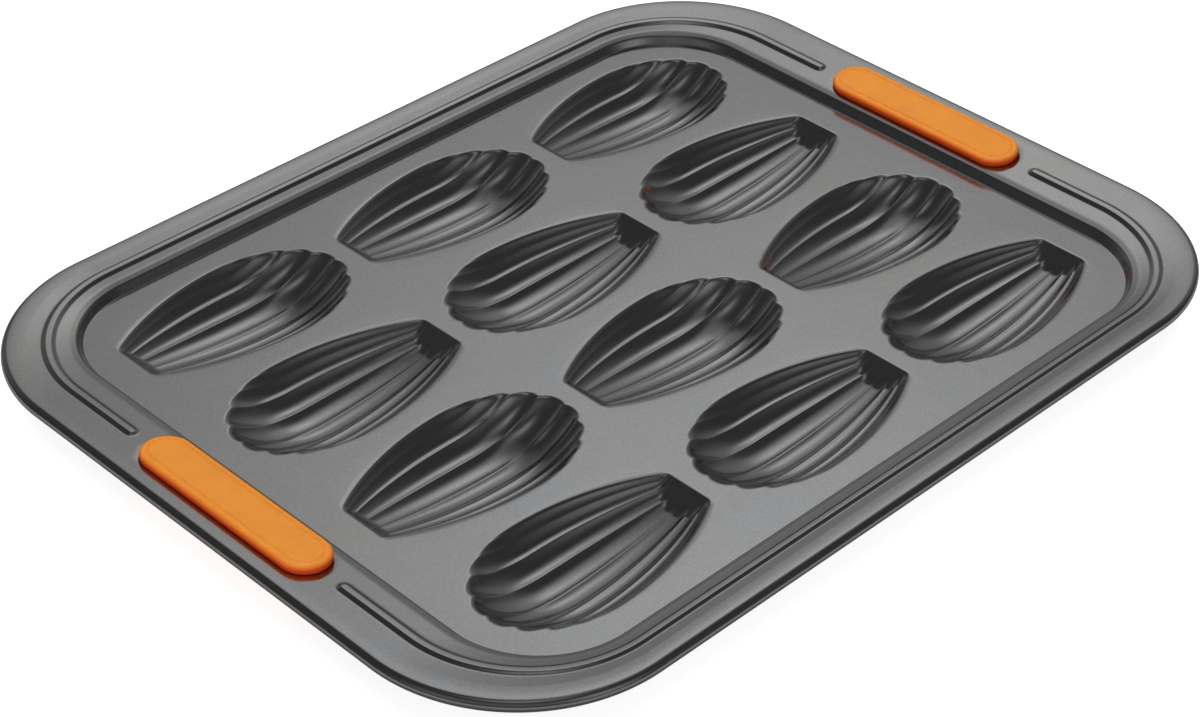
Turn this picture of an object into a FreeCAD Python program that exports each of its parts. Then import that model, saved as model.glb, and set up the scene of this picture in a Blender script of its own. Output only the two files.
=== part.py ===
import FreeCAD, Part
import os
from math import sqrt, sin, cos, asin, atan, exp, radians, degrees, pi

V = FreeCAD.Vector

# ---------------------------------------------------------------- driving dimensions (mm)
# Frame: +X along the long side, +Y along the short side, +Z up,
# origin at the centre of the face that the pan rests on.

SHEET_T = 0.8            # carbon-steel sheet
HALF_LENGTH = 199.5      # outside of the rolled edge, along X
HALF_WIDTH = 157.5       # outside of the rolled edge, along Y

# cups
CUP_PITCH_X = 105.0      # three columns
CUP_PITCH_Y = 64.1       # four rows, turned end for end row by row
CUP_NARROW_S = -46.6     # straight narrow end, along the cup's own axis
CUP_WIDEST_S = 12.0      # station of the greatest width
CUP_END_LEN = 36.4       # from the widest station to the rounded end
CUP_HALF_W = 26.8
CUP_DEPTH = 12.6         # deepest mean depth below the deck
CUP_DEEP_S = 15.0        # station of the deepest floor
CUP_RISE = 0.00199       # how fast the floor rises towards the narrow end
END_WALL_SLOPE = 1.05    # flat wall across the narrow end
FLUTE_FIRST = 22.6       # section angle of the ridges, in degrees: k * (first - less * k)
FLUTE_LESS = 0.75
FLUTES = 4               # on each side of the axis
END_POWER = 1.12         # how much fuller the rounded end is than the sides
CUP_PATCH_S = 51.2       # half size of the panel round each cup, which narrows to its ends
CUP_PATCH_T = 29.4
CUP_PATCH_END_T = 20.0
LAND = 0.20              # flat worn off the lowest flutes, where the pan stands

# rim, measured from the pan's centre and from the deck's top face
STEP_IN = (165.9, 134.0, 37.5, 0.0)      # foot of the stepped wall: half length, half width, corner radius, height
STEP_OUT = (172.5, 139.0, 43.8, 4.1)     # outer end of the sloping shelf above the wall
STEP_FOOT = 0.06         # where the wall starts and how steep wall and shelf are, over that width
STEP_WALL = 9.6
STEP_SHELF = 1.8
SHELF_END = 0.25         # the shelf bends into the flange over this part of the width
BEAD_IN = (178.3, 141.4, 50.0)
BEAD_OUT = (184.4, 146.4, 55.0)
FLANGE_OUT = (191.5, 150.2, 60.2)
FLANGE_SLOPE = 0.11
BEAD_H = 0.95
BEAD_SIDE = 0.55         # part of the bead's half width taken by each rounded side
BEAD_END_Y = 55.0        # the beads stop here on the short sides
MIDDLE_Y = 50.0          # plain middle of the short sides
ROLL_R = 2.5             # rolled edge, outside
ROLL_H = 4.1             # its centre above the deck
ROLL_CREST = (HALF_LENGTH - ROLL_R, HALF_WIDTH - ROLL_R, 63.4)
ROLL_END = -190.0        # degrees

# stiffening wire in the rolled edge
WIRE_R = 1.65

# grips
GRIP_X = 181.3
GRIP_L = 94.0
GRIP_W = 19.8
GRIP_T = 3.5
GRIP_EDGE = 1.8
GRIP_UNDER_L = 88.0
GRIP_UNDER_W = 15.6
GRIP_UNDER_T = 2.2
SLOT_L = 78.0
SLOT_W = 8.0
SLOT_CLEAR = 0.1


# ---------------------------------------------------------------- cup shape
def smin(a, b, k):
    h = max(k - abs(a - b), 0.0) / k
    return min(a, b) - h * h * k * 0.25


def smax(a, b, k):
    h = max(k - abs(a - b), 0.0) / k
    return max(a, b) + h * h * k * 0.25


def half_width(s):
    """Half width of the cup's outline at station s; constant past the widest station."""
    if s >= CUP_WIDEST_S:
        return CUP_HALF_W
    u = CUP_WIDEST_S - s
    return CUP_HALF_W * (0.75 * (1.0 - 0.00017684 * u * u) + 0.25 * sqrt(max(0.0, 1.0 - (u / 63.7) ** 2)))


EPS = 0.6
NSIDE = sqrt(1.0 + EPS) - sqrt(EPS)


def p_side(q):
    """Section of the cup across its axis: close to an arc of a circle."""
    if q < 0.0:
        return q / (2.0 * sqrt(EPS)) / NSIDE
    return (sqrt(q + EPS) - sqrt(EPS)) / NSIDE


def p_end(q):
    """Section along the axis at the rounded end."""
    return p_side(1.0 - max(1.0 - q, 0.0) ** END_POWER)


def flute(x):
    """0 on a ridge, 1 on the floor of a flute."""
    y = abs(x - round(x))
    return 4.0 * y * (1.0 - y)


def ridge_angle(k):
    return k * (FLUTE_FIRST - FLUTE_LESS * abs(k))


def flute_count(phi):
    k = (FLUTE_FIRST - sqrt(FLUTE_FIRST ** 2 - 4.0 * FLUTE_LESS * abs(phi))) / (2.0 * FLUTE_LESS)
    return k if phi > 0 else -k


def flute_height(s):
    mid = 1.25 - 0.4 * min(1.0, max(0.0, -s / 42.0)) + 0.35 * min(1.0, max(0.0, (s - 34.0) / 12.0))
    return mid - 0.5 * exp(-((s - 28.0) / 5.5) ** 2)


def cup_depth(s, t, fluted=1.0):
    """Depth of the cup below the deck at a point of its plan."""
    d = CUP_DEPTH - CUP_RISE * max(CUP_DEEP_S - s, 0.0) ** 2
    sig = t / half_width(s)
    if s <= CUP_WIDEST_S:
        bowl = d * p_side(1.0 - sig * sig)
    else:
        x = (s - CUP_WIDEST_S) / CUP_END_LEN
        y = t / CUP_HALF_W
        r2 = x * x + y * y
        c2 = x * x / r2 if r2 > 1e-9 else 0.0
        bowl = d * (p_side(1.0 - r2) * (1.0 - c2) + p_end(1.0 - r2) * c2)
    phi = degrees(asin(max(-1.0, min(1.0, sig))))
    x = max(0.0, min(1.0, (abs(phi) - 52.0) / 30.0))
    fade = 1.0 - 0.75 * x * x * (3 - 2 * x)          # the flutes run out towards the side lips
    bowl += fluted * fade * flute_height(s) * (flute(flute_count(phi)) - 0.62)
    wall = END_WALL_SLOPE * (s - CUP_NARROW_S)
    return smax(smin(bowl, wall, 1.0), 0.0, 0.8)


def under_depth(s, t):
    """Depth of the underside of the sheet below the deck's top face, one sheet thickness further down."""
    g = 0.4
    ds = (cup_depth(s + g, t, 0.0) - cup_depth(s - g, t, 0.0)) / (2 * g)
    dt = (cup_depth(s, t + g, 0.0) - cup_depth(s, t - g, 0.0)) / (2 * g)
    return cup_depth(s, t) + SHEET_T * min(2.2, sqrt(1.0 + ds * ds + dt * dt))


# ---------------------------------------------------------------- smooth patches through grids of points
def knots_for(par, p):
    n = len(par)
    return [par[0]] * (p + 1) + [sum(par[j + 1:j + p + 1]) / p for j in range(n - p - 1)] + [par[-1]] * (p + 1)


def basis_row(kn, p, n, x):
    k = p
    while k < n - 1 and x >= kn[k + 1]:
        k += 1
    b = [1.0] + [0.0] * p
    left = [0.0] * (p + 1)
    right = [0.0] * (p + 1)
    for j in range(1, p + 1):
        left[j] = x - kn[k + 1 - j]
        right[j] = kn[k + j] - x
        saved = 0.0
        for r in range(j):
            tmp = b[r] / (right[r + 1] + left[j - r])
            b[r] = saved + right[r + 1] * tmp
            saved = left[j - r] * tmp
        b[j] = saved
    row = [0.0] * n
    for j in range(p + 1):
        row[k - p + j] = b[j]
    return row


def inverse(m):
    n = len(m)
    a = [list(r) + [1.0 if i == j else 0.0 for j in range(n)] for i, r in enumerate(m)]
    for c in range(n):
        piv = max(range(c, n), key=lambda r: abs(a[r][c]))
        a[c], a[piv] = a[piv], a[c]
        d = a[c][c]
        a[c] = [x / d for x in a[c]]
        for r in range(n):
            f = a[r][c]
            if r != c and f:
                a[r] = [x - f * y for x, y in zip(a[r], a[c])]
    return [r[n:] for r in a]


CACHE = {}


def fitter(par, p):
    key = (tuple(par), p)
    if key not in CACHE:
        n = len(par)
        kn = knots_for(par, p)
        inv = inverse([basis_row(kn, p, n, x) for x in par])
        inv = [[(j, w) for j, w in enumerate(r) if abs(w) > 1e-13] for r in inv]
        ks, ms = [], []
        for x in kn:
            if ks and abs(x - ks[-1]) < 1e-12:
                ms[-1] += 1
            else:
                ks.append(x)
                ms.append(1)
        CACHE[key] = (inv, ks, ms)
    return CACHE[key]


def poles_of(grid, pu, pv, du, dv):
    iu = fitter(pu, du)[0]
    iv = fitter(pv, dv)[0]
    nu, nv = len(pu), len(pv)
    mid = []
    for i in range(nu):
        row = []
        for j in range(nv):
            x = y = z = 0.0
            for k, w in iu[i]:
                g = grid[k][j]
                x += w * g[0]
                y += w * g[1]
                z += w * g[2]
            row.append((x, y, z))
        mid.append(row)
    out = []
    for i in range(nu):
        row = []
        for j in range(nv):
            x = y = z = 0.0
            for k, w in iv[j]:
                g = mid[i][k]
                x += w * g[0]
                y += w * g[1]
                z += w * g[2]
            row.append((x, y, z))
        out.append(row)
    return out


def surface(poles, pu, pv, du, dv):
    _, ku, mu = fitter(pu, du)
    _, kv, mv = fitter(pv, dv)
    s = Part.BSplineSurface()
    s.buildFromPolesMultsKnots([[V(*p) for p in row] for row in poles], mu, mv, ku, kv, False, False, du, dv)
    return s.toShape()


def patch(grid, pu, pv, du, dv):
    return surface(poles_of(grid, pu, pv, du, dv), pu, pv, du, dv)


def curve(points, par, p):
    inv, ks, ms = fitter(par, p)
    poles = []
    for r in inv:
        poles.append(V(sum(w * points[k][0] for k, w in r), sum(w * points[k][1] for k, w in r),
                       sum(w * points[k][2] for k, w in r)))
    c = Part.BSplineCurve()
    c.buildFromPolesMultsKnots(poles, ms, ks, False, p)
    return c.toShape()


# ---------------------------------------------------------------- cups
S_STATIONS = [-CUP_PATCH_S, -49.4, -48.0, -47.0, -46.0, -44.9, -43.7, -42.5, -41.3, -40.1, -38.6, -36.0, -31.0,
              -24.0, -16.0, -8.0, 0.0, 7.0, 12.0, 16.0, 20.0, 23.5, 26.5, 29.2, 31.7, 34.0, 36.2, 38.2, 40.1, 41.9,
              43.6, 45.2, 46.7, 48.1, 49.4, CUP_PATCH_S]
PER_FLUTE = 4
LAST = CUP_HALF_W * sin(radians(ridge_angle(FLUTES)))
FOLD = 27.2              # where the lip meets the deck, at the widest station
LIP = [LAST, FOLD]
FLAT = [FOLD, CUP_PATCH_T]
# the cup is laid out in strips: one per flute, ridge to ridge, one along each lip and a flat one beside it
STRIPS = ([[-v for v in reversed(FLAT)], [-v for v in reversed(LIP)]]
          + [[CUP_HALF_W * sin(radians(ridge_angle(i + j / PER_FLUTE))) for j in range(PER_FLUTE + 1)] for i in range(-FLUTES, FLUTES)]
          + [LIP, FLAT])


def panel_edge(s):
    """Half width of the panel round a cup."""
    x = max(0.0, min(1.0, (abs(s) - 30.0) / (CUP_PATCH_S - 30.0)))
    return CUP_PATCH_T - (CUP_PATCH_T - CUP_PATCH_END_T) * x * x * (3 - 2 * x)


def plan_t(s, v):
    """The lines of the patch run with the flutes inside the outline and spread to the panel's edge outside it."""
    edge = panel_edge(s)
    w = min(half_width(s), edge - 2.0)
    a = abs(v)
    if a <= CUP_HALF_W:
        t = a / CUP_HALF_W * w
    elif a <= FOLD:
        t = w + (a - CUP_HALF_W) * 1.2
    else:
        near = w + (FOLD - CUP_HALF_W) * 1.2
        t = near + (a - FOLD) / (CUP_PATCH_T - FOLD) * (edge - near)
    return t if v > 0 else -t


def cup_poles(depth):
    out = []
    for lines in STRIPS:
        grid = [[(s, plan_t(s, v), -depth(s, plan_t(s, v)) if abs(v) < FOLD else -depth(s, panel_edge(s))) for v in lines]
                for s in S_STATIONS]
        out.append(poles_of(grid, S_STATIONS, lines, 3, min(3, len(lines) - 1)))
    return out


top_poles = cup_poles(cup_depth)
low_poles = cup_poles(under_depth)
floor = max(under_depth(s * 0.5, t * 0.25) for s in range(-20, 60) for t in range(-60, 61))
DECK_Z = round(floor - LAND, 2)      # the deck's top face above the surface the pan stands on

faces = []
cup_centres = []
for row in range(4):
    for col in range(3):
        cx = (col - 1) * CUP_PITCH_X
        cy = (1.5 - row) * CUP_PITCH_Y
        turn = 1.0 if row % 2 == 0 else -1.0     # narrow end towards -X, then +X
        cup_centres.append((cx, cy, turn))
        for strips in (top_poles, low_poles):
            for lines, poles in zip(STRIPS, strips):
                moved = [[(cx + turn * p[0], cy + turn * p[1], DECK_Z + p[2]) for p in r] for r in poles]
                faces.append(surface(moved, S_STATIONS, lines, 3, min(3, len(lines) - 1)))


# ---------------------------------------------------------------- rim
def lerp(a, b, f):
    return tuple(x + (y - x) * f for x, y in zip(a, b))


def flange_h(a):
    return STEP_OUT[3] + FLANGE_SLOPE * (a - STEP_OUT[0])


class Station:
    """One line round the rim: half length, half width, corner radius, height, and how much of the bead it carries."""

    def __init__(self, a, b, r, h, bead=0.0):
        self.a, self.b, self.r, self.h, self.bead = a, b, r, h, bead


def below(st, slope, t=SHEET_T):
    """The same line on the underside of the sheet."""
    n = sqrt(1.0 + slope * slope)
    d = t * slope / n
    return Station(st.a + d, st.b + d, st.r + d, st.h - t / n, st.bead)


W_STEP = STEP_OUT[0] - STEP_IN[0]


def step_h(x):
    """Height over the stepped part of the rim: foot, wall, rounded edge, sloping shelf."""
    wall = STEP_WALL * (x - STEP_FOOT)
    u = 1.0 - x
    flat = FLANGE_SLOPE * W_STEP
    more = STEP_SHELF - flat
    drop = more * u * u / (2 * SHELF_END) if u < SHELF_END else more * (u - SHELF_END / 2)
    shelf = STEP_OUT[3] - flat * u - drop
    return smax(smin(wall, shelf, 0.9), 0.0, 0.5)


step_top, step_low, step_par = [], [], []
for x in (0.0, 0.03, 0.06, 0.09, 0.13, 0.19, 0.25, 0.31, 0.37, 0.43, 0.5, 0.62, 0.74, 0.87, 1.0):
    a, b, r, _ = lerp(STEP_IN, STEP_OUT, x)
    dh = FLANGE_SLOPE if x == 1.0 else (step_h(x + 1e-4) - step_h(x - 1e-4)) / (2e-4 * W_STEP)
    st = Station(a, b, r, step_h(x))
    step_top.append(st)
    step_low.append(below(st, dh))
    step_par.append(x)


def bead_h(x):
    y = min(1.0, (1.0 - abs(2 * x - 1)) / BEAD_SIDE)
    return BEAD_H * y * y * (3 - 2 * y)


flange_top, flange_low, flange_par = [], [], []
for lo, hi, n, on_bead in ((STEP_OUT[:3], BEAD_IN, 3, False), (BEAD_IN, BEAD_OUT, 12, True), (BEAD_OUT, FLANGE_OUT, 3, False)):
    for i in range(n):
        x = i / n
        a, b, r = lerp(lo, hi, x)
        st = Station(a, b, r, flange_h(a), bead_h(x) if on_bead else 0.0)
        flange_top.append(st)
st = Station(*FLANGE_OUT, flange_h(FLANGE_OUT[0]))
flange_top.append(st)
flange_low = [below(s, FLANGE_SLOPE) for s in flange_top]
flange_par = [s.a for s in flange_top]

roll_top, roll_low, roll_par = [], [], []
h0 = flange_h(FLANGE_OUT[0])
h1 = ROLL_H + ROLL_R
run = ROLL_CREST[0] - FLANGE_OUT[0]
for i in range(4):
    x = i / 4.0
    a, b, r = lerp(FLANGE_OUT, ROLL_CREST, x)
    h = (2 * x ** 3 - 3 * x ** 2 + 1) * h0 + (x ** 3 - 2 * x ** 2 + x) * FLANGE_SLOPE * run + (3 * x ** 2 - 2 * x ** 3) * h1
    dh = ((6 * x ** 2 - 6 * x) * h0 + (3 * x ** 2 - 4 * x + 1) * FLANGE_SLOPE * run + (6 * x - 6 * x ** 2) * h1) / run
    st = Station(a, b, r, h)
    roll_top.append(st)
    roll_low.append(below(st, dh))
    roll_par.append(x * run)
N_ROLL = 14
for i in range(N_ROLL + 1):
    th = radians(90.0 + (ROLL_END - 90.0) * i / N_ROLL)
    for rows, rad in ((roll_top, ROLL_R), (roll_low, ROLL_R - SHEET_T)):
        rows.append(Station(ROLL_CREST[0] + rad * cos(th), ROLL_CREST[1] + rad * cos(th), ROLL_CREST[2] + rad * cos(th),
                            ROLL_H + rad * sin(th)))
    roll_par.append(run + ROLL_R * radians(90.0 - ROLL_END) * i / N_ROLL)


def bead_window(y):
    x = max(0.0, min(1.0, (abs(y) - (BEAD_END_Y - 3.0)) / 6.0))
    return x * x * (3 - 2 * x)


ARC = [i / 8.0 for i in range(9)]
END_G = [0.0, 0.03, 0.07, 0.11, 0.15, 0.19, 0.24, 0.34, 0.6, 1.0]


def line_points(st, seg):
    """Points along one stretch of a rim line."""
    ca, cb = st.a - st.r, st.b - st.r
    kind = seg[0]
    z = DECK_Z + st.h
    if kind == "long":
        sy = seg[1]
        return [(-ca, sy * st.b, z + st.bead), (ca, sy * st.b, z + st.bead)]
    if kind == "corner":
        sx, sy = seg[1], seg[2]
        return [(sx * (ca + st.r * sin(pi / 2 * f)), sy * (cb + st.r * cos(pi / 2 * f)), z + st.bead) for f in ARC]
    if kind == "middle":
        sx = seg[1]
        return [(sx * st.a, -MIDDLE_Y, z), (sx * st.a, MIDDLE_Y, z)]
    sx, sy = seg[1], seg[2]
    ys = [MIDDLE_Y + (cb - MIDDLE_Y) * g for g in END_G]
    return [(sx * st.a, sy * y, z + st.bead * bead_window(y)) for y in ys]


PARS = {"long": ([0.0, 1.0], 1), "corner": (ARC, 3), "middle": ([0.0, 1.0], 1), "end": (END_G, 3)}
SEGS = ([("long", s) for s in (1, -1)] + [("corner", sx, sy) for sx in (1, -1) for sy in (1, -1)]
        + [("middle", s) for s in (1, -1)] + [("end", sx, sy) for sx in (1, -1) for sy in (1, -1)])


def band(rows, par, seg):
    pv, dv = PARS[seg[0]]
    return patch([line_points(st, seg) for st in rows], par, pv, 3, dv)


def ring_edges(st):
    return [curve(line_points(st, seg), *PARS[seg[0]]) for seg in SEGS]


def stadium(length, width):
    """Slot outline in the local plane, centred, long along Y."""
    r = width / 2.0
    c = length / 2.0 - r
    return Part.Wire([
        Part.LineSegment(V(r, -c, 0), V(r, c, 0)).toShape(),
        Part.Arc(V(r, c, 0), V(0, c + r, 0), V(-r, c, 0)).toShape(),
        Part.LineSegment(V(-r, c, 0), V(-r, -c, 0)).toShape(),
        Part.Arc(V(-r, -c, 0), V(0, -c - r, 0), V(r, -c, 0)).toShape(),
    ])


TILT = degrees(atan(FLANGE_SLOPE))


def on_flange(shape, side):
    """From the grip's own frame, with Z out of the flange's top face, to its place on a short side."""
    s = shape.copy()
    s.rotate(V(0, 0, 0), V(0, 1, 0), -TILT)
    s.translate(V(GRIP_X, 0, DECK_Z + flange_h(GRIP_X)))
    if side < 0:
        s.rotate(V(0, 0, 0), V(0, 0, 1), 180.0)
    return s


for seg in SEGS:
    for rows, par in ((step_top, step_par), (step_low, step_par)):
        for lo, hi in ((0, 5), (5, 10), (10, 14)):          # foot, rounded edge, shelf
            faces.append(band(rows[lo:hi + 1], par[lo:hi + 1], seg))
    for rows in (roll_top, roll_low):
        faces.append(band(rows, roll_par, seg))
    if seg[0] != "middle":
        faces.append(band(flange_top, flange_par, seg))
        faces.append(band(flange_low, flange_par, seg))
    # the cut end of the sheet inside the rolled edge
    a, b = line_points(roll_top[-1], seg), line_points(roll_low[-1], seg)
    pv, dv = PARS[seg[0]]
    faces.append(patch([a, b], [0.0, 1.0], pv, 1, dv))

for side in (1, -1):
    slot = on_flange(stadium(SLOT_L, SLOT_W), side)
    down = on_flange(stadium(SLOT_L, SLOT_W).translated(V(0, 0, -SHEET_T)), side)
    for rows, hole in ((flange_top, slot), (flange_low, down)):
        p = line_points(rows[0], ("middle", side))
        q = line_points(rows[-1], ("middle", side))
        outer = Part.makePolygon([V(*p[0]), V(*p[1]), V(*q[1]), V(*q[0]), V(*p[0])])
        faces.append(Part.makeFace([outer, hole], "Part::FaceMakerCheese"))
    faces += [f for f in Part.makeLoft([slot, down], False, True).Faces]

# deck, top and underside, with the twelve panels left out of it
for rows, z in ((step_top, DECK_Z), (step_low, DECK_Z - SHEET_T)):
    outer = Part.Wire(Part.sortEdges(ring_edges(rows[0]))[0])
    holes = []
    for cx, cy, turn in cup_centres:
        sides = [[(cx + turn * x, cy + turn * sy * panel_edge(x), z) for x in S_STATIONS] for sy in (1, -1)]
        ends = []
        for x in (S_STATIONS[0], S_STATIONS[-1]):
            t = [plan_t(x, lines[0]) for lines in STRIPS] + [plan_t(x, CUP_PATCH_T)]
            p = [V(cx + turn * x, cy + turn * v, z) for v in t]
            ends += [Part.LineSegment(p[i], p[i + 1]).toShape() for i in range(len(p) - 1)]
        holes.append(Part.Wire(Part.sortEdges([curve(p, S_STATIONS, 3) for p in sides] + ends)[0]))
    deck = Part.Face(outer).cut([Part.Face(h) for h in holes]).Faces
    print("deck faces", len(deck), "area", [round(f.Area, 1) for f in deck])
    faces += deck

shell = Part.makeCompound(faces)
shell.sewShape()
shells = shell.Shells
print("shells", len(shells), "closed", [s.isClosed() for s in shells], "faces", len(faces))
pan = Part.Solid(shells[0])
if pan.Volume < 0:
    pan.reverse()
print("pan valid", pan.isValid(), "volume", round(pan.Volume, 1), "deck", DECK_Z, "lowest", round(pan.BoundBox.ZMin, 3))

# the lowest flutes are flattened where the pan stands
pan = pan.cut(Part.makeBox(420.0, 340.0, 5.0, V(-210.0, -170.0, -5.0)))
pan = pan.Solids[0]
print("pan on its lands: valid", pan.isValid(), "volume", round(pan.Volume, 1), "lowest", round(pan.BoundBox.ZMin, 4))

# ---------------------------------------------------------------- stiffening wire
ca, cb, r = ROLL_CREST[0] - ROLL_CREST[2], ROLL_CREST[1] - ROLL_CREST[2], ROLL_CREST[2]
zc = DECK_Z + ROLL_H
q = r * sqrt(0.5)
path = Part.Wire([
    Part.LineSegment(V(ca + r, -cb, zc), V(ca + r, cb, zc)).toShape(),
    Part.Arc(V(ca + r, cb, zc), V(ca + q, cb + q, zc), V(ca, cb + r, zc)).toShape(),
    Part.LineSegment(V(ca, cb + r, zc), V(-ca, cb + r, zc)).toShape(),
    Part.Arc(V(-ca, cb + r, zc), V(-ca - q, cb + q, zc), V(-ca - r, cb, zc)).toShape(),
    Part.LineSegment(V(-ca - r, cb, zc), V(-ca - r, -cb, zc)).toShape(),
    Part.Arc(V(-ca - r, -cb, zc), V(-ca - q, -cb - q, zc), V(-ca, -cb - r, zc)).toShape(),
    Part.LineSegment(V(-ca, -cb - r, zc), V(ca, -cb - r, zc)).toShape(),
    Part.Arc(V(ca, -cb - r, zc), V(ca + q, -cb - q, zc), V(ca + r, -cb, zc)).toShape(),
])
ring = Part.Wire([Part.Circle(V(ca + r, -cb, zc), V(0, 1, 0), WIRE_R).toShape()])
wire = path.makePipeShell([ring], True, False)
wire = wire.Solids[0] if wire.Solids else Part.Solid(wire.Shells[0])
if wire.Volume < 0:
    wire.reverse()
print("wire valid", wire.isValid(), "volume", round(wire.Volume, 1))


# ---------------------------------------------------------------- grips
def pad(length, width, thick, edge):
    body = Part.Face(stadium(length, width)).extrude(V(0, 0, thick))
    z = thick
    rim = [e for e in body.Edges if abs(e.BoundBox.ZMin - z) < 1e-6 and abs(e.BoundBox.ZMax - z) < 1e-6]
    return body.makeFillet(edge, rim)


def grip():
    top = pad(GRIP_L, GRIP_W, GRIP_T, GRIP_EDGE)
    under = pad(GRIP_UNDER_L, GRIP_UNDER_W, GRIP_UNDER_T, 1.0)
    under.rotate(V(0, 0, 0), V(0, 1, 0), 180.0)
    under.translate(V(0, 0, -SHEET_T))
    neck = Part.Face(stadium(SLOT_L - 2 * SLOT_CLEAR, SLOT_W - 2 * SLOT_CLEAR)).extrude(V(0, 0, SHEET_T))
    neck.translate(V(0, 0, -SHEET_T))
    g = top.fuse([neck, under]).removeSplitter()
    return g.Solids[0]


g0 = grip()
grips = {"grip_right": on_flange(g0, 1), "grip_left": on_flange(g0, -1)}

os.makedirs("parts", exist_ok=True)
nodes = {"pan_sheet": pan, "rim_wire": wire}
nodes.update(grips)
for name, shape in nodes.items():
    print(name, "valid", shape.isValid(), "volume", round(shape.Volume, 1), shape.BoundBox)
    shape.exportStep("parts/%s.step" % name)
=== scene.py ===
import math
import bmesh
import bpy
import numpy as np
from mathutils import Matrix, Vector
from mathutils.geometry import delaunay_2d_cdt


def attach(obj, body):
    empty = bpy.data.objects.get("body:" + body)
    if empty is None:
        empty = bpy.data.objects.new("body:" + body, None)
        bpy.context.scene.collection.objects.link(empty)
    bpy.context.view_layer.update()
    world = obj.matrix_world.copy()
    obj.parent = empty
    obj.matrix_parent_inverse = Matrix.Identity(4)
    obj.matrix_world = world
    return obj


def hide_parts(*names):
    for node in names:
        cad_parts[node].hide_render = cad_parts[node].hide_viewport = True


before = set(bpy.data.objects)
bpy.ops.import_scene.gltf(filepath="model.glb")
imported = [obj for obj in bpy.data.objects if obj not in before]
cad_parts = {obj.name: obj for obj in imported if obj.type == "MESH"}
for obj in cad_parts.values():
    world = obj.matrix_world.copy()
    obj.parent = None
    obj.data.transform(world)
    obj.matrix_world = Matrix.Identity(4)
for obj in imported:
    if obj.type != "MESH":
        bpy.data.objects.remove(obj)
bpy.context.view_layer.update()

MM = 0.001

# ------------------------------------------------------------------ dimensions, in mm, as in the construction
SHEET_T = 0.8
DECK_Z = 13.37
PITCH_X, PITCH_Y = 105.0, 64.1
NARROW_S, WIDEST_S, END_LEN, HALF_W = -46.6, 12.0, 36.4, 26.8
CUP_DEPTH, DEEP_S, CUP_RISE, WALL_SLOPE = 12.6, 15.0, 0.00199, 1.05
FLUTE_FIRST, FLUTE_LESS, FLUTES = 22.6, 0.75, 4
PANEL_S, PANEL_T, PANEL_END_T = 51.2, 29.4, 20.0
END_POWER = 1.12
STEP_IN = (165.9, 134.0, 37.5)
STEP_OUT = (172.5, 139.0, 43.8)
STEP_H = 4.1
STEP_FOOT, STEP_WALL, STEP_SHELF, SHELF_END = 0.06, 9.6, 1.8, 0.25
BEAD_IN = (178.3, 141.4, 50.0)
BEAD_OUT = (184.4, 146.4, 55.0)
CREASE = (191.5, 150.2, 60.2)
FLANGE_SLOPE = 0.11
BEAD_H, BEAD_SIDE = 0.85, 0.75
BEAD_END_Y = 55.0
MIDDLE_Y = 50.0
ROLL_R, ROLL_H = 2.5, 4.1
CREST = (196.998, 154.996, 63.4)
ROLL_END = -190.0
GRIP_X, GRIP_L, GRIP_W, GRIP_T = 181.3, 94.0, 19.8, 3.5
UNDER_L, UNDER_W, UNDER_T = 88.0, 15.6, 2.2
SLOT_L, SLOT_W = 78.0, 8.0


# ------------------------------------------------------------------ cup surface
def smin(a, b, k):
    h = np.maximum(k - np.abs(a - b), 0.0) / k
    return np.minimum(a, b) - h * h * k * 0.25


def smax(a, b, k):
    h = np.maximum(k - np.abs(a - b), 0.0) / k
    return np.maximum(a, b) + h * h * k * 0.25


def half_width(s):
    u = np.maximum(WIDEST_S - s, 0.0)
    return HALF_W * (0.75 * (1.0 - 0.00017684 * u * u) + 0.25 * np.sqrt(np.maximum(0.0, 1.0 - (u / 63.7) ** 2)))


EPS = 0.6
NSIDE = math.sqrt(1.0 + EPS) - math.sqrt(EPS)


def p_side(q):
    inside = (np.sqrt(np.maximum(q, 0.0) + EPS) - math.sqrt(EPS)) / NSIDE
    return np.where(q < 0.0, q / (2.0 * math.sqrt(EPS)) / NSIDE, inside)


def p_end(q):
    return p_side(1.0 - np.maximum(1.0 - q, 0.0) ** END_POWER)


def flute(x, e, flat):
    y = x - np.round(x)
    a = (np.sqrt(y * y + e * e) - e) * 0.5 / (math.sqrt(0.25 + e * e) - e)
    u = 1.0 - 2.0 * a
    return 1.0 - (1.0 - flat) * u ** 2 - flat * u ** 3


def ridge_angle(k):
    return k * (FLUTE_FIRST - FLUTE_LESS * np.abs(k))


def flute_count(phi):
    k = (FLUTE_FIRST - np.sqrt(FLUTE_FIRST ** 2 - 4.0 * FLUTE_LESS * np.abs(phi))) / (2.0 * FLUTE_LESS)
    return np.sign(phi) * k


def flute_height(s):
    mid = 1.25 - 0.75 * np.clip((-s - 6.0) / 36.0, 0.0, 1.0) + 0.75 * np.clip((s - 34.0) / 12.0, 0.0, 1.0)
    return mid - 0.5 * np.exp(-((s - 28.0) / 5.5) ** 2)


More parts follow.
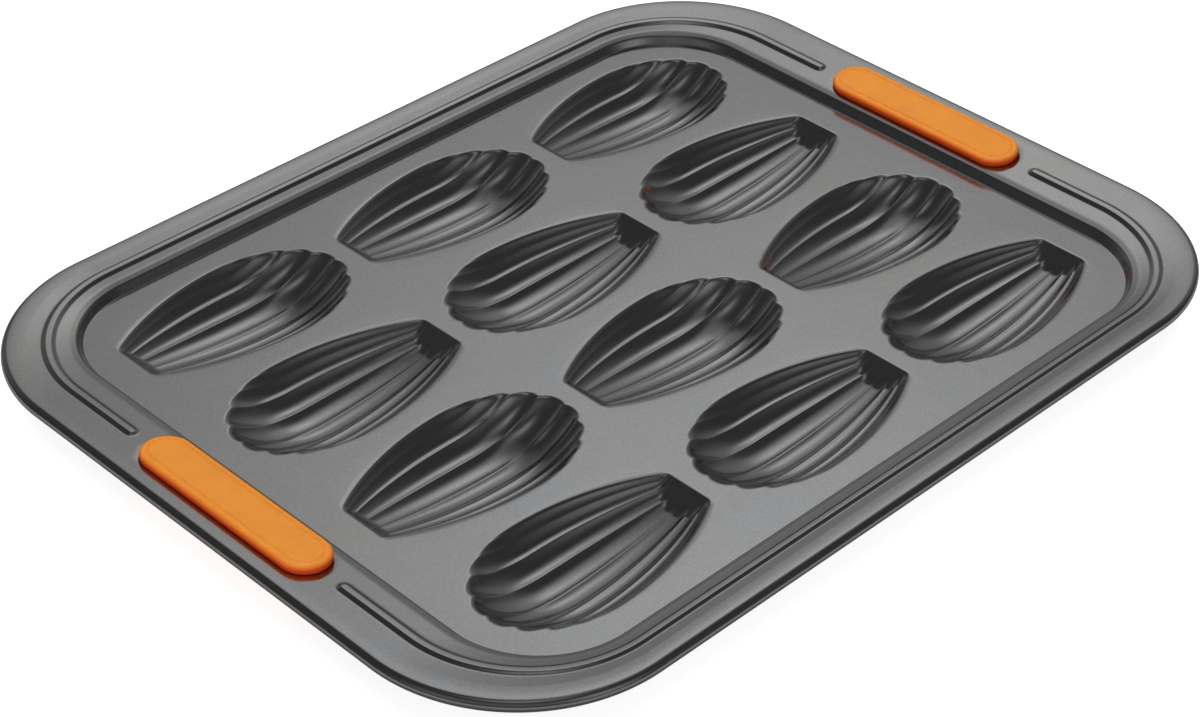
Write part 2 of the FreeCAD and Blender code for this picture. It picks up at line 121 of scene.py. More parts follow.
def cup_depth(s, t, e, fluted=1.0):
    d = CUP_DEPTH - CUP_RISE * np.maximum(DEEP_S - s, 0.0) ** 2
    sig = t / half_width(s)
    side = p_side(1.0 - sig * sig)
    x = np.maximum(s - WIDEST_S, 0.0) / END_LEN
    y = t / HALF_W
    r2 = x * x + y * y
    c2 = np.where(r2 > 1e-9, x * x / np.maximum(r2, 1e-9), 0.0)
    q = 1.0 - r2
    end = p_side(q) * (1.0 - c2) + p_end(q) * c2
    bowl = d * np.where(s <= WIDEST_S, side, end)
    phi = np.degrees(np.arcsin(np.clip(sig, -1.0, 1.0)))
    x = np.clip((np.abs(phi) - 6.0) / 24.0, 0.0, 1.0)
    flat = 1.0 - x * x * (3 - 2 * x)
    x = np.clip((np.abs(phi) - 46.0) / 20.0, 0.0, 1.0)
    y = np.clip((s - 22.0) / 16.0, 0.0, 1.0)
    fade = 1.0 - (0.82 - 0.45 * y * y * (3 - 2 * y)) * x * x * (3 - 2 * x)
    rib = (1.0 - 0.42 * flat) * (flute(flute_count(phi), e, flat) - 1.0) + 0.38
    bowl = bowl + fluted * fade * flute_height(s) * rib
    wall = WALL_SLOPE * (s - NARROW_S)
    return smax(smin(bowl, wall, 2.0), 0.0, 1.2)


def under_depth(s, t):
    g = 0.4
    ds = (cup_depth(s + g, t, 0.2, 0.0) - cup_depth(s - g, t, 0.2, 0.0)) / (2 * g)
    dt = (cup_depth(s, t + g, 0.2, 0.0) - cup_depth(s, t - g, 0.2, 0.0)) / (2 * g)
    low = cup_depth(s, t, 0.2) + SHEET_T * np.minimum(2.2, np.sqrt(1.0 + ds * ds + dt * dt))
    return np.minimum(low, DECK_Z)


def panel_edge(s):
    x = np.clip((np.abs(s) - 30.0) / (PANEL_S - 30.0), 0.0, 1.0)
    return PANEL_T - (PANEL_T - PANEL_END_T) * x * x * (3 - 2 * x)


# ------------------------------------------------------------------ a mesh gathered from patches
class Soup:
    def __init__(self):
        self.v, self.f, self.n = [], [], 0

    def add(self, pts, faces):
        pts = np.asarray(pts, float).reshape(-1, 3)
        self.v.append(pts)
        self.f += [tuple(int(i) + self.n for i in f) for f in faces]
        self.n += len(pts)

    def grid(self, pts, flip=False):
        """pts[i][j] is a point; the faces look along di x dj."""
        nu, nv = pts.shape[:2]
        i, j = np.meshgrid(np.arange(nu - 1), np.arange(nv - 1), indexing="ij")
        a = (i * nv + j).ravel()
        q = np.stack([a, a + nv, a + nv + 1, a + 1], 1)
        if flip:
            q = q[:, ::-1]
        self.add(pts.reshape(-1, 3), q)

    def build(self, name):
        me = bpy.data.meshes.new(name)
        me.from_pydata((np.vstack(self.v) * MM).tolist(), [], self.f)
        bm = bmesh.new()
        bm.from_mesh(me)
        bmesh.ops.remove_doubles(bm, verts=bm.verts, dist=2e-6)      # joins the patches along their shared edges
        bm.to_mesh(me)
        bm.free()
        me.update()
        me.shade_smooth()
        ob = bpy.data.objects.new(name, me)
        bpy.context.scene.collection.objects.link(ob)
        return ob


def inside(loop, x, y):
    """Even-odd test of points against one outline."""
    c = np.zeros(x.shape, bool)
    for (x0, y0), (x1, y1) in zip(loop, np.roll(loop, -1, axis=0)):
        hit = (y0 > y) != (y1 > y)
        if hit.any():
            c[hit] ^= x[hit] < x0 + (y[hit] - y0) * (x1 - x0) / (y1 - y0)
    return c


def fill(loops, steiner):
    """Triangles of the flat region inside the first loop and outside the others."""
    given = np.vstack([np.asarray(p, float) for p in list(loops) + [steiner]])
    edges, n = [], 0
    for loop in loops:
        m = len(loop)
        edges += [(n + i, n + (i + 1) % m) for i in range(m)]
        n += m
    vs, _, fs, source, _, _ = delaunay_2d_cdt([Vector((float(p[0]), float(p[1]))) for p in given], edges, [], 0, 1e-6)
    vs = np.array([given[o[0]] if len(o) else (v.x, v.y) for v, o in zip(vs, source)])
    tri = np.array([list(f) for f in fs], int)
    c = vs[tri].mean(1)
    ok = inside(loops[0], c[:, 0], c[:, 1])
    for loop in loops[1:]:
        ok &= ~inside(loop, c[:, 0], c[:, 1])
    tri = tri[ok]
    a, b, d = vs[tri[:, 0]], vs[tri[:, 1]], vs[tri[:, 2]]
    area = (b[:, 0] - a[:, 0]) * (d[:, 1] - a[:, 1]) - (b[:, 1] - a[:, 1]) * (d[:, 0] - a[:, 0])
    tri[area < 0] = tri[area < 0][:, ::-1]
    return vs, tri


def span(*parts):
    """Joins (start, stop, count) runs into one rising list without repeats."""
    out = []
    for a, b, n in parts:
        out += list(np.linspace(a, b, n, endpoint=False))
    out.append(parts[-1][1])
    return np.array(out)


# ------------------------------------------------------------------ pan sheet
def cup_lines(fine):
    if fine:
        s = span((-PANEL_S, -48.6, 3), (-48.6, -37.0, 26), (-37.0, -28.0, 8), (-28.0, 12.0, 22), (12.0, 20.0, 7),
                 (20.0, 50.2, 52), (50.2, PANEL_S, 1))
        cross, lip = [0.0, 0.025, 0.06, 0.11, 0.18, 0.27, 0.38, 0.5, 0.62, 0.73, 0.82, 0.89, 0.94, 0.975], [0.05, 0.12, 0.2, 0.29, 0.4, 0.6]
    else:
        s = span((-PANEL_S, -36.0, 16), (-36.0, 12.0, 16), (12.0, PANEL_S, 30))
        cross, lip = [i / 6.0 for i in range(6)], [0.15, 0.4, 0.7]
    k = np.array([i + c for i in range(-FLUTES, FLUTES) for c in cross] + [FLUTES])
    inner = HALF_W * np.sin(np.radians(ridge_angle(k)))
    outer = inner[-1] + np.array(lip + [1.0]) * (PANEL_T - inner[-1])
    return s, np.concatenate([-outer[::-1], inner, outer])


def plan_t(s, v):
    edge = panel_edge(s)
    w = np.minimum(half_width(s), edge - 2.0)
    f = (np.abs(v) - HALF_W) / (PANEL_T - HALF_W)
    out = w + np.where(f < 0.4, f * 2.5 * 0.9, 0.9 + (f - 0.4) / 0.6 * (edge - w - 0.9))
    return np.where(np.abs(v) <= HALF_W, v / HALF_W * w, np.sign(v) * out)


CUPS = [((col - 1) * PITCH_X, (1.5 - row) * PITCH_Y, 1.0 if row % 2 == 0 else -1.0) for row in range(4) for col in range(3)]


def cup_grid(fine):
    s, v = cup_lines(fine)
    S, Vv = np.meshgrid(s, v, indexing="ij")
    T = plan_t(S, Vv)
    d = cup_depth(S, T, 0.03) if fine else under_depth(S, T)
    return np.stack([S, T, -d], 2)


def border(g):
    """The panel's outline, once round."""
    return np.vstack([g[:-1, 0], g[-1, :-1], g[:0:-1, -1], g[0, :0:-1]])


def lerp3(a, b, f):
    return tuple(x + (y - x) * f for x, y in zip(a, b))


def flange_h(a):
    return STEP_H + FLANGE_SLOPE * (a - STEP_OUT[0])


def step_h(x):
    """Height over the stepped part of the rim: foot, wall, rounded edge, sloping shelf."""
    wall = STEP_WALL * (x - STEP_FOOT)
    flat = FLANGE_SLOPE * (STEP_OUT[0] - STEP_IN[0])
    more, u = STEP_SHELF - flat, 1.0 - x
    drop = more * u * u / (2 * SHELF_END) if u < SHELF_END else more * (u - SHELF_END / 2)
    return smax(smin(wall, STEP_H - flat * u - drop, 0.9), 0.0, 0.5)


def rim_profile():
    """Lines round the rim on the top face: (half length, half width, corner radius, height, bead position or None)."""
    top = []
    for x in span((0.0, 0.16, 16), (0.16, 0.24, 4), (0.24, 0.52, 22), (0.52, 1.0, 12))[:-1]:
        a, b, r = lerp3(STEP_IN, STEP_OUT, x)
        top.append((a, b, r, float(step_h(x)), None))
    step_end = len(top)
    for lo, hi, n, bead in ((STEP_OUT, BEAD_IN, 6, False), (BEAD_IN, BEAD_OUT, 26, True), (BEAD_OUT, CREASE, 8, False)):
        for i in range(n):
            x = i / n
            a, b, r = lerp3(lo, hi, x)
            top.append((a, b, r, flange_h(a), 2 * x - 1 if bead else None))
    flange_end = len(top)
    h0, h1, run = flange_h(CREASE[0]), ROLL_H + ROLL_R, CREST[0] - CREASE[0]
    for i in range(14):
        x = i / 14.0
        a, b, r = lerp3(CREASE, CREST, x)
        h = h0 * (2 * x ** 3 - 3 * x * x + 1) + FLANGE_SLOPE * run * (x ** 3 - 2 * x * x + x) + h1 * (3 * x * x - 2 * x ** 3)
        top.append((a, b, r, h, None))
    n = 44
    for i in range(n + 1):
        th = math.radians(90.0 + (ROLL_END - 90.0) * i / n)
        top.append((CREST[0] + ROLL_R * math.cos(th), CREST[1] + ROLL_R * math.cos(th), CREST[2] + ROLL_R * math.cos(th),
                    ROLL_H + ROLL_R * math.sin(th), None))
    return top, step_end, flange_end


def underside(top, step_end, flange_end):
    low = []
    for i, (a, b, r, h, bead) in enumerate(top):
        if i == 0:
            slope = 0.0
        elif i < step_end:
            p, q = top[i - 1], top[i + 1]
            slope = (q[3] - p[3]) / (q[0] - p[0])
        elif i <= flange_end:
            slope = FLANGE_SLOPE
        else:
            break
        k = math.hypot(1.0, slope)
        d = SHEET_T * slope / k
        low.append((a + d, b + d, r + d, h - SHEET_T / k, bead))
    h0 = low[-1][3]
    last = low[-1]
    crest_in = (CREST[0], CREST[1], CREST[2])
    for i in range(1, 5):
        x = i / 5.0
        a, b, r = lerp3(last[:3], crest_in, x)
        low.append((a, b, r, h0 + (ROLL_H + ROLL_R - SHEET_T - h0) * math.sin(math.pi / 2 * x), None))
    n = 24
    rad = ROLL_R - SHEET_T
    for i in range(n + 1):
        th = math.radians(90.0 + (ROLL_END - 90.0) * i / n)
        low.append((CREST[0] + rad * math.cos(th), CREST[1] + rad * math.cos(th), CREST[2] + rad * math.cos(th),
                    ROLL_H + rad * math.sin(th), None))
    return low


HALF_BEAD = (BEAD_OUT[0] - BEAD_IN[0]) / 2.0


def bead_rise(p, back):
    """Height of the rib at p, from -1 to 1 across it, back mm beyond its rounded end."""
    d = np.hypot(p, back / HALF_BEAD)
    x = np.clip((1.0 - d) / BEAD_SIDE, 0.0, 1.0)
    return BEAD_H * x * x * (3 - 2 * x)


def line_points(st, seg):
    a, b, r, h, bead = st
    ca, cb = a - r, b - r
    z = DECK_Z + h
    if seg[0] == "long":
        sy = seg[1]
        x = np.linspace(-ca, ca, 49)
        lift = bead_rise(bead, 0.0) if bead is not None else 0.0
        return np.stack([x, np.full_like(x, sy * b), np.full_like(x, z + lift)], 1)
    if seg[0] == "corner":
        sx, sy = seg[1], seg[2]
        f = np.linspace(0.0, math.pi / 2, 41)
        lift = bead_rise(bead, 0.0) if bead is not None else 0.0
        return np.stack([sx * (ca + r * np.sin(f)), sy * (cb + r * np.cos(f)), np.full_like(f, z + lift)], 1)
    if seg[0] == "middle":
        sx = seg[1]
        y = np.linspace(-MIDDLE_Y, MIDDLE_Y, 41)
        return np.stack([np.full_like(y, sx * a), y, np.full_like(y, z)], 1)
    sx, sy = seg[1], seg[2]
    y = np.concatenate([np.linspace(MIDDLE_Y, 62.0, 25), np.linspace(62.0, cb, 9)[1:]])
    end = BEAD_END_Y + HALF_BEAD
    lift = bead_rise(bead, np.maximum(0.0, end - y)) if bead is not None else 0.0
    return np.stack([np.full_like(y, sx * a), sy * y, z + lift + 0.0 * y], 1)


SEGS = ([("long", s) for s in (1, -1)] + [("corner", sx, sy) for sx in (1, -1) for sy in (1, -1)]
        + [("middle", s) for s in (1, -1)] + [("end", sx, sy) for sx in (1, -1) for sy in (1, -1)])


def stadium(length, width, n_side=20, n_arc=20):
    """Outline in its own plane, long along Y, once round, anticlockwise."""
    r = width / 2.0
    c = length / 2.0 - r
    up = np.linspace(-c, c, n_side, endpoint=False)
    a = np.linspace(0.0, math.pi, n_arc, endpoint=False)
    right = np.stack([np.full_like(up, r), up], 1)
    top = np.stack([r * np.cos(a), c + r * np.sin(a)], 1)
    return np.vstack([right, top, -right, -top])


TILT = math.atan(FLANGE_SLOPE)


def on_flange(pts, side):
    """From a grip's own frame, Z out of the flange's top face, to its place on a short side."""
    x, y, z = pts[..., 0], pts[..., 1], pts[..., 2]
    X = GRIP_X + x * math.cos(TILT) - z * math.sin(TILT)
    Z = DECK_Z + flange_h(GRIP_X) + x * math.sin(TILT) + z * math.cos(TILT)
    return np.stack([side * X, side * y, Z], -1)


def ring_loop(st):
    """One rim line, once round, from its stretches."""
    parts = [("end", 1, 1), ("corner", 1, 1), ("long", 1), ("corner", -1, 1), ("end", -1, 1), ("middle", -1), ("end", -1, -1),
             ("corner", -1, -1), ("long", -1), ("corner", 1, -1), ("end", 1, -1), ("middle", 1)]
    out = []
    for seg in parts:
        p = line_points(st, seg)
        if out and np.linalg.norm(p[0] - out[-1][-1]) > 1e-6:
            p = p[::-1]
        out.append(p)
    return np.vstack([p[:-1] for p in out])


def pan_mesh():
    soup = Soup()
    top, step_end, flange_end = rim_profile()
    low = underside(top, step_end, flange_end)
    grids = {True: cup_grid(True), False: cup_grid(False)}
    for fine in (True, False):
        g = grids[fine]
        for cx, cy, turn in CUPS:
            soup.grid(np.stack([cx + turn * g[..., 0], cy + turn * g[..., 1], DECK_Z + g[..., 2]], 2), flip=not fine)

    # deck, top face and underside
    for fine, st, z in ((True, top[0], DECK_Z), (False, low[0], DECK_Z - SHEET_T)):
        g = border(grids[fine])
        loops = [ring_loop(st)[:, :2]]
        for cx, cy, turn in CUPS:
            loops.append(np.stack([cx + turn * g[:, 0], cy + turn * g[:, 1]], 1))
        a, b, r = STEP_IN

        def clear(x, y, gap):
            ok = np.ones(np.shape(x), bool)
            for cx, cy, turn in CUPS:
                s, t = turn * (x - cx), turn * (y - cy)
                ok &= ~((np.abs(s) < PANEL_S + gap) & (np.abs(t) < panel_edge(s) + gap))
            dx, dy = np.maximum(np.abs(x) - (a - r), 0.0), np.maximum(np.abs(y) - (b - r), 0.0)
            return ok & (np.hypot(dx, dy) < r - gap)

        gx, gy = np.meshgrid(np.arange(-162.0, 163.0, 3.0), np.arange(-132.0, 133.0, 3.0))
        m = clear(gx.ravel(), gy.ravel(), 1.2)
        steiner = np.stack([gx.ravel()[m], gy.ravel()[m]], 1)
        vs, tri = fill(loops, steiner)
        soup.add(np.column_stack([vs, np.full(len(vs), z)]), tri if fine else tri[:, ::-1])

    # rim
    loop = top + low[::-1]
    for seg in SEGS:
        if seg[0] == "middle":
            rows = [loop[:step_end + 1], loop[flange_end:len(top) + len(low) - flange_end], loop[len(top) + len(low) - step_end - 1:]]
        else:
            rows = [loop]
        flip = {"long": seg[1] > 0, "corner": seg[1] * seg[-1] > 0, "middle": seg[1] < 0, "end": seg[1] * seg[-1] < 0}[seg[0]]
        for part in rows:
            soup.grid(np.stack([line_points(st, seg) for st in part]), flip=flip)

    # flat middle of each short side, with the grip's slot through it
    hole = stadium(SLOT_L, SLOT_W)
    for side in (1, -1):
        for rows, face_up in ((top, True), (low, False)):
            band = rows[step_end:flange_end + 1]
            k = math.cos(TILT)
            a = np.array([st[0] for st in band])
            h = np.array([st[3] for st in band])
            y = np.linspace(-MIDDLE_Y, MIDDLE_Y, 41)
            loop2 = [(a[0], v) for v in y[:-1]] + [(u, MIDDLE_Y) for u in a[:-1]] + [(a[-1], v) for v in y[:0:-1]] + [(u, -MIDDLE_Y) for u in a[:0:-1]]
            off = 0.0 if face_up else SHEET_T * math.sin(TILT)
            cut = np.stack([GRIP_X + off + hole[:, 0] * k, hole[:, 1]], 1)

            vs, tri = fill([np.array(loop2), cut], np.zeros((0, 2)))
            z = DECK_Z + np.interp(vs[:, 0], a, h)
            soup.add(np.column_stack([side * vs[:, 0], side * vs[:, 1], z]), tri if face_up else tri[:, ::-1])
        n = len(hole)
        walls = []
        for off, dz in ((0.0, 0.0), (SHEET_T * math.sin(TILT), -SHEET_T * math.cos(TILT))):
            x = GRIP_X + hole[:, 0] * math.cos(TILT)
            walls.append(np.column_stack([side * (x + off), side * hole[:, 1], DECK_Z + flange_h(x) + dz]))
        ring = np.stack([np.vstack([w, w[:1]]) for w in walls])
        soup.grid(ring, flip=True)
    return soup.build("pan_body")


pan = pan_mesh()
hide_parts("pan_sheet")
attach(pan, "root")


# ------------------------------------------------------------------ grips
def grip_rows():
    """Outlines from the middle of the top face out over the edge, down through the slot's neck and round the lower pad:
    (inset from the outline of that pad, pad, height)."""
    half = GRIP_W / 2.0
    rows = []
    for inset in (half - 0.02, half - 1.2, half - 2.6, half - 4.0, 5.2, 4.4, 3.9):
        rows.append((inset, "top", GRIP_T))
    # shallow border line moulded into the top face
    for inset, dip in ((3.6, 0.0), (3.42, 0.04), (3.28, 0.17), (3.12, 0.28), (2.95, 0.30), (2.78, 0.28), (2.62, 0.17), (2.48, 0.04), (2.3, 0.0)):
        rows.append((inset, "top", GRIP_T - dip))
    r = 1.9
    for i in range(0, 10):
        a = math.radians(90.0 * i / 9)
        rows.append((r * (1 - math.sin(a)) + 0.12 * (1 - i / 9) * 0, "top", GRIP_T - r * (1 - math.cos(a))))
    rows += [(0.0, "top", 1.2), (0.05, "top", 0.5), (0.25, "top", 0.12), (0.6, "top", 0.0), (1.5, "top", 0.0)]
    rows += [(0.0, "neck", 0.0), (0.0, "neck", -SHEET_T)]
    r = 1.0
    rows += [(1.2, "under", -SHEET_T), (0.4, "under", -SHEET_T), (0.1, "under", -SHEET_T - 0.1), (0.0, "under", -SHEET_T - 0.4)]
    for i in range(0, 8):
        a = math.radians(90.0 * i / 7)
        rows.append((r * (1 - math.cos(a)), "under", -SHEET_T - UNDER_T + r * (1 - math.sin(a))))
    for inset in (1.6, 3.0, 5.0, UNDER_W / 2 - 0.02):
        rows.append((inset, "under", -SHEET_T - UNDER_T))
    return rows


def grip_mesh(name, side):
    soup = Soup()
    size = {"top": (GRIP_L, GRIP_W), "neck": (SLOT_L - 0.2, SLOT_W - 0.2), "under": (UNDER_L, UNDER_W)}
    rings = []
    for inset, pad, z in grip_rows():
        length, width = size[pad]
        o = stadium(length - 2 * inset, width - 2 * inset, 40, 28)
        crown = 0.0
        p = np.column_stack([o, np.full(len(o), z + crown)])
        rings.append(np.vstack([p, p[:1]]))
    g = on_flange(np.stack(rings), side)
    soup.grid(g, flip=False)
    # close the two faces along their middle lines
    n = len(rings[0]) - 1
    for k, up in ((0, True), (-1, False)):
        p = g[k, :-1]
        half = n // 2
        quads = []
        # outline order: right side, far arc, left side, near arc; pair points across the middle line
        for i in range(n // 2 - 1):
            a, b = i, i + 1
            c, d = n - 1 - i, n - 2 - i
            quads.append((a, b, d, c))
        shift = 14 + 40
        order = [(i + shift) % n for i in range(n)]
        q = np.array(quads)
        q = np.array(order)[q]
        soup.add(p, q if up else q[:, ::-1])
    return soup.build(name)


grips = []
for name, side in (("grip_right", 1), ("grip_left", -1)):
    g = grip_mesh(name + "_moulding", side)
    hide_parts(name)
    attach(g, "root")
    grips.append(g)


# ------------------------------------------------------------------ materials
class Nodes:
    def __init__(self, name):
        self.mat = bpy.data.materials.new(name)
        self.mat.use_nodes = True
        self.t = self.mat.node_tree
        self.bsdf = next(n for n in self.t.nodes if n.type == "BSDF_PRINCIPLED")
        self.coord = self.t.nodes.new("ShaderNodeTexCoord")

    def node(self, kind, **values):
        n = self.t.nodes.new(kind)
        for k, v in values.items():
            if hasattr(n, k):
                setattr(n, k, v)
            else:
                n.inputs[k.replace("_", " ")].default_value = v
        return n

    def link(self, a, b):
        self.t.links.new(a, b)

    def noise(self, scale, detail=2.0, rough=0.5, distortion=0.0):
        n = self.t.nodes.new("ShaderNodeTexNoise")
        n.inputs["Scale"].default_value = scale
        n.inputs["Detail"].default_value = detail
        n.inputs["Roughness"].default_value = rough
        n.inputs["Distortion"].default_value = distortion
        self.link(self.coord.outputs["Object"], n.inputs["Vector"])
        return n.outputs["Fac"]

    def ramp(self, fac, stops):
        n = self.t.nodes.new("ShaderNodeValToRGB")
        e = n.color_ramp.elements
        while len(e) < len(stops):
            e.new(0.5)
        for el, (p, c) in zip(e, stops):
            el.position = p
            el.color = (*c, 1.0) if len(c) == 3 else c
        self.link(fac, n.inputs["Fac"])
        return n.outputs["Color"]

    def remap(self, fac, a, b, lo, hi):
        n = self.t.nodes.new("ShaderNodeMapRange")
        n.inputs["From Min"].default_value = a
        n.inputs["From Max"].default_value = b
        n.inputs["To Min"].default_value = lo
        n.inputs["To Max"].default_value = hi
        self.link(fac, n.inputs["Value"])
        return n.outputs["Result"]

    def mix(self, kind, fac, a, b):
        n = self.t.nodes.new("ShaderNodeMix")
        n.data_type = "RGBA"
        n.blend_type = kind
        for sock, val in ((n.inputs[0], fac), (n.inputs[6], a), (n.inputs[7], b)):
            if hasattr(val, "is_output"):
                self.link(val, sock)
            else:
                sock.default_value = val if isinstance(val, (int, float)) else (*val, 1.0)
        return n.outputs[2]

    def bump(self, height, strength, distance, normal=None):
        n = self.t.nodes.new("ShaderNodeBump")
        n.inputs["Strength"].default_value = strength
        n.inputs["Distance"].default_value = distance
        self.link(height, n.inputs["Height"])
        if normal is not None:
            self.link(normal, n.inputs["Normal"])
        return n.outputs["Normal"]


def coating():
    m = Nodes("nonstick_coating")
    b = m.bsdf
    speck = m.noise(1400.0, 2.0, 0.6)
    cloud = m.noise(14.0, 3.0, 0.55)
    fine = m.ramp(speck, [(0.30, (0.392, 0.394, 0.394)), (0.55, (0.427, 0.429, 0.429)), (0.75, (0.475, 0.477, 0.476))])
    tint = m.ramp(cloud, [(0.35, (0.975, 0.98, 1.0)), (0.65, (1.01, 1.005, 0.99))])
    colour = m.mix("MULTIPLY", 1.0, fine, tint)
    m.link(colour, b.inputs["Base Color"])
    b.inputs["Metallic"].default_value = 1.0
    smear = m.noise(55.0, 4.0, 0.6, 0.4)
    rough = m.remap(smear, 0.3, 0.7, 0.115, 0.165)
    m.link(rough, b.inputs["Roughness"])
    n1 = m.bump(m.noise(420.0, 2.0, 0.5), 0.10, 0.00012)
    n2 = m.bump(m.noise(60.0, 2.0, 0.5), 0.15, 0.00025, n1)
    m.link(n2, b.inputs["Normal"])
    return m.mat


def silicone():
    m = Nodes("orange_silicone")
    b = m.bsdf
    cloud = m.noise(90.0, 4.0, 0.6)
    grain = m.noise(1800.0, 2.0, 0.6)
    up = m.t.nodes.new("ShaderNodeSeparateXYZ")
    geo = m.t.nodes.new("ShaderNodeNewGeometry")
    m.link(geo.outputs["Normal"], up.inputs[0])
    # painted light and shade: the sides of the grips get a darker, deeper orange and the tops a paler one, blended by
    # how far the surface faces up, in place of the light falling on the tops and the shade on the sides
    shaded_side_orange = m.ramp(cloud, [(0.30, (0.72, 0.066, 0.003)), (0.70, (0.80, 0.082, 0.005))])
    lit_top_orange = m.ramp(cloud, [(0.30, (0.545, 0.185, 0.016)), (0.70, (0.60, 0.215, 0.021))])
    lit_and_shaded_orange = m.mix("MIX", m.remap(up.outputs[2], 0.15, 0.92, 0.0, 1.0), shaded_side_orange, lit_top_orange)
    dust = m.ramp(grain, [(0.35, (0.95, 0.95, 0.95)), (0.65, (1.04, 1.04, 1.05))])
    m.link(m.mix("MULTIPLY", 1.0, lit_and_shaded_orange, dust), b.inputs["Base Color"])
    m.link(m.remap(cloud, 0.3, 0.7, 0.42, 0.55), b.inputs["Roughness"])
    b.inputs["Subsurface Weight"].default_value = 0.15
    b.inputs["Subsurface Radius"].default_value = (1.0, 0.35, 0.1)
    b.inputs["Subsurface Scale"].default_value = 0.002
    b.inputs["Specular IOR Level"].default_value = 0.4
    n1 = m.bump(grain, 0.12, 0.0001)
    n2 = m.bump(m.noise(160.0, 2.0, 0.5), 0.12, 0.0002, n1)
    m.link(n2, b.inputs["Normal"])
    return m.mat


def drawn_steel():
    m = Nodes("drawn_steel")
    b = m.bsdf
    streak = m.noise(260.0, 4.0, 0.6)
    m.link(m.ramp(streak, [(0.3, (0.42, 0.42, 0.43)), (0.7, (0.60, 0.60, 0.61))]), b.inputs["Base Color"])
    b.inputs["Metallic"].default_value = 1.0
    m.link(m.remap(streak, 0.3, 0.7, 0.25, 0.45), b.inputs["Roughness"])
    m.link(m.bump(streak, 0.1, 0.0001), b.inputs["Normal"])
    return m.mat


def floor_paint():
    m = Nodes("studio_floor")
    b = m.bsdf
    grain = m.noise(3.0, 3.0, 0.5)
    m.link(m.ramp(grain, [(0.3, (0.40, 0.40, 0.40)), (0.7, (0.43, 0.43, 0.43))]), b.inputs["Base Color"])
    m.link(m.ramp(grain, [(0.3, (0.97, 0.97, 0.97)), (0.7, (1.0, 1.0, 1.0))]), b.inputs["Emission Color"])
    b.inputs["Emission Strength"].default_value = 0.86
    b.inputs["Roughness"].default_value = 0.9
    b.inputs["Specular IOR Level"].default_value = 0.1
    return m.mat


def dress(ob, mat):
    ob.data.materials.clear()
    ob.data.materials.append(mat)


dress(pan, coating())
sil = silicone()
for g in grips:
    dress(g, sil)
dress(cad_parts["rim_wire"], drawn_steel())

# ------------------------------------------------------------------ floor, light, camera
me = bpy.data.meshes.new("studio_floor")
R = 6.0
me.from_pydata([(-R, -R, -0.0002), (R, -R, -0.0002), (R, R, -0.0002), (-R, R, -0.0002)], [], [(0, 1, 2, 3)])
floor = bpy.data.objects.new("studio_floor", me)
bpy.context.scene.collection.objects.link(floor)
floor.visible_glossy = False
dress(floor, floor_paint())

# camera: solved from the grid of cups
F_PX, W_PX = 2747.852, 1200.0
RV = np.array([2.076205, -0.845606, 0.431345])
TV = np.array([4.964052, -20.491534, 1040.62673])
th = np.linalg.norm(RV)
k = RV / th
K = np.array([[0, -k[2], k[1]], [k[2], 0, -k[0]], [-k[1], k[0], 0]])
ROT = np.eye(3) + math.sin(th) * K + (1 - math.cos(th)) * K @ K
eye = -ROT.T @ TV + np.array([0, 0, DECK_Z])
cam_data = bpy.data.cameras.new("camera")
cam_data.sensor_fit = "HORIZONTAL"
cam_data.sensor_width = 36.0
cam_data.lens = 36.0 * F_PX / W_PX
cam_data.clip_start = 0.01
cam = bpy.data.objects.new("camera", cam_data)
m4 = Matrix.Identity(4)
for i in range(3):
    m4[i][0] = ROT[0][i]
    m4[i][1] = -ROT[1][i]
    m4[i][2] = -ROT[2][i]
    m4[i][3] = eye[i] * MM
cam.matrix_world = m4
bpy.context.scene.collection.objects.link(cam)
bpy.context.scene.camera = cam

# soft light from above for the floor and the grips
lamp = bpy.data.lights.new("overhead", "AREA")
lamp.shape = "RECTANGLE"
lamp.size, lamp.size_y = 2.4, 2.4
lamp.energy = 60.0
top_light = bpy.data.objects.new("overhead", lamp)
top_light.location = (0.3, 0.4, 1.9)
top_light.rotation_euler = Vector((0.3, 0.4, 1.9)).to_track_quat("Z", "Y").to_euler()
top_light.visible_glossy = False
bpy.context.scene.collection.objects.link(top_light)

# a weaker one from the front for the sides of the grips
lamp = bpy.data.lights.new("front", "AREA")
lamp.shape = "RECTANGLE"
lamp.size, lamp.size_y = 1.6, 1.6
lamp.energy = 14.0
front_light = bpy.data.objects.new("front", lamp)
front_light.location = (-0.95, -1.05, 0.55)
front_light.rotation_euler = Vector((-0.95, -1.05, 0.55)).to_track_quat("Z", "Y").to_euler()
front_light.visible_glossy = False
bpy.context.scene.collection.objects.link(front_light)

# the studio round it: a tall soft panel on the far side, brightest low down, dim above and in front
world = bpy.data.worlds.new("studio")
bpy.context.scene.world = world
world.use_nodes = True
wt = world.node_tree
bg = next(n for n in wt.nodes if n.type == "BACKGROUND")
tc = wt.nodes.new("ShaderNodeTexCoord")
sep = wt.nodes.new("ShaderNodeSeparateXYZ")
wt.links.new(tc.outputs["Generated"], sep.inputs[0])


def math_node(op, a, b=None, clamp=False):
    n = wt.nodes.new("ShaderNodeMath")
    n.operation = op
    n.use_clamp = clamp
    for s, v in zip(n.inputs, (a, b)):
        if v is None:
            continue
        if hasattr(v, "is_output"):
            wt.links.new(v, s)
        else:
            s.default_value = v
    return n.outputs[0]


def range_node(v, a, b, lo, hi):
    n = wt.nodes.new("ShaderNodeMapRange")
    n.interpolation_type = "SMOOTHSTEP"
    wt.links.new(v, n.inputs["Value"])
    for key, val in (("From Min", a), ("From Max", b), ("To Min", lo), ("To Max", hi)):
        n.inputs[key].default_value = val
    return n.outputs["Result"]


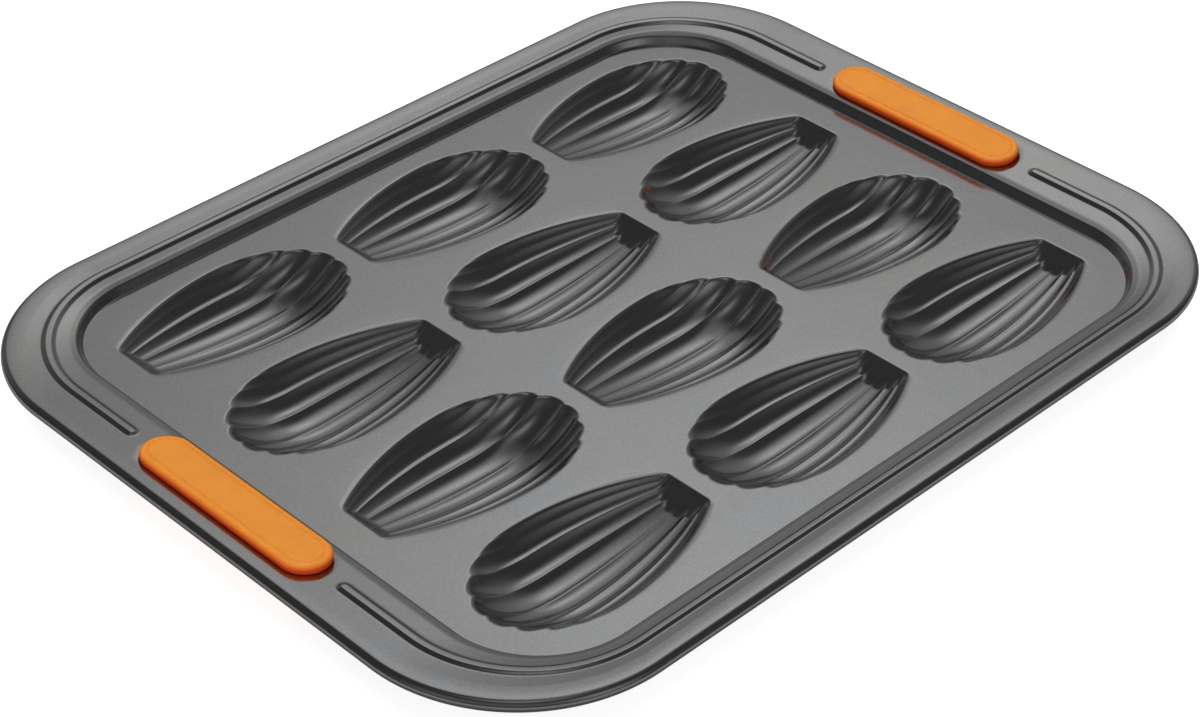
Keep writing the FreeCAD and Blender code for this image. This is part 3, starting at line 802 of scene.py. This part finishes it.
def lobe(azimuth, height, tightness, amount):
    """A soft round glow in one direction, both angles in degrees."""
    a, e = math.radians(azimuth), math.radians(height)
    n = wt.nodes.new("ShaderNodeVectorMath")
    n.operation = "DOT_PRODUCT"
    wt.links.new(tc.outputs["Generated"], n.inputs[0])
    n.inputs[1].default_value = (math.cos(e) * math.cos(a), math.cos(e) * math.sin(a), math.sin(e))
    fall = math_node("EXPONENT", math_node("MULTIPLY", math_node("SUBTRACT", n.outputs["Value"], 1.0), tightness))
    return math_node("MULTIPLY", fall, amount)


turn = math.radians(-7.6)
across = math_node("ADD", math_node("MULTIPLY", sep.outputs[0], math.cos(turn)), math_node("MULTIPLY", sep.outputs[1], math.sin(turn)))
side = math_node("MULTIPLY", range_node(across, 0.04, 0.38, 0.0, 1.0), range_node(sep.outputs[1], -0.26, 0.26, 0.0, 1.0))
panel = math_node("MULTIPLY", side, math_node("ADD", lobe(46.3, 26.3, 6.04, 0.19), lobe(141.9, 51.7, 4.61, 1.1)))
# weaker soft lights all round and overhead, so that no side of the pan is left black
glints = lobe(225.0, 82.0, 40.0, 0.32)
for az, el, tight, amount in ((0.0, 25.0, 20.0, 0.08), (92.0, 18.0, 20.0, 0.11), (182.0, 25.0, 20.0, 0.13),
                              (222.0, 30.0, 16.0, 0.11), (270.0, 25.0, 20.0, 0.32)):
    glints = math_node("ADD", glints, lobe(az, el, tight, amount))
main = math_node("ADD", lobe(38.0, 44.0, 40.0, 0.35), lobe(42.0, 40.0, 60.0, 0.15))
# the pale floor as the outside of the rolled edge mirrors it
ground = math_node("MULTIPLY", range_node(sep.outputs[2], -0.02, -0.16, 0.0, 0.30), range_node(sep.outputs[2], -0.80, -0.40, 0.25, 1.0))
glints = math_node("ADD", glints, ground)
strength = math_node("ADD", math_node("ADD", panel, main), math_node("ADD", glints, 0.052))
wt.links.new(strength, bg.inputs["Strength"])
bg.inputs["Color"].default_value = (1.0, 1.0, 1.0, 1.0)

bpy.context.scene.view_settings.view_transform = "Standard"
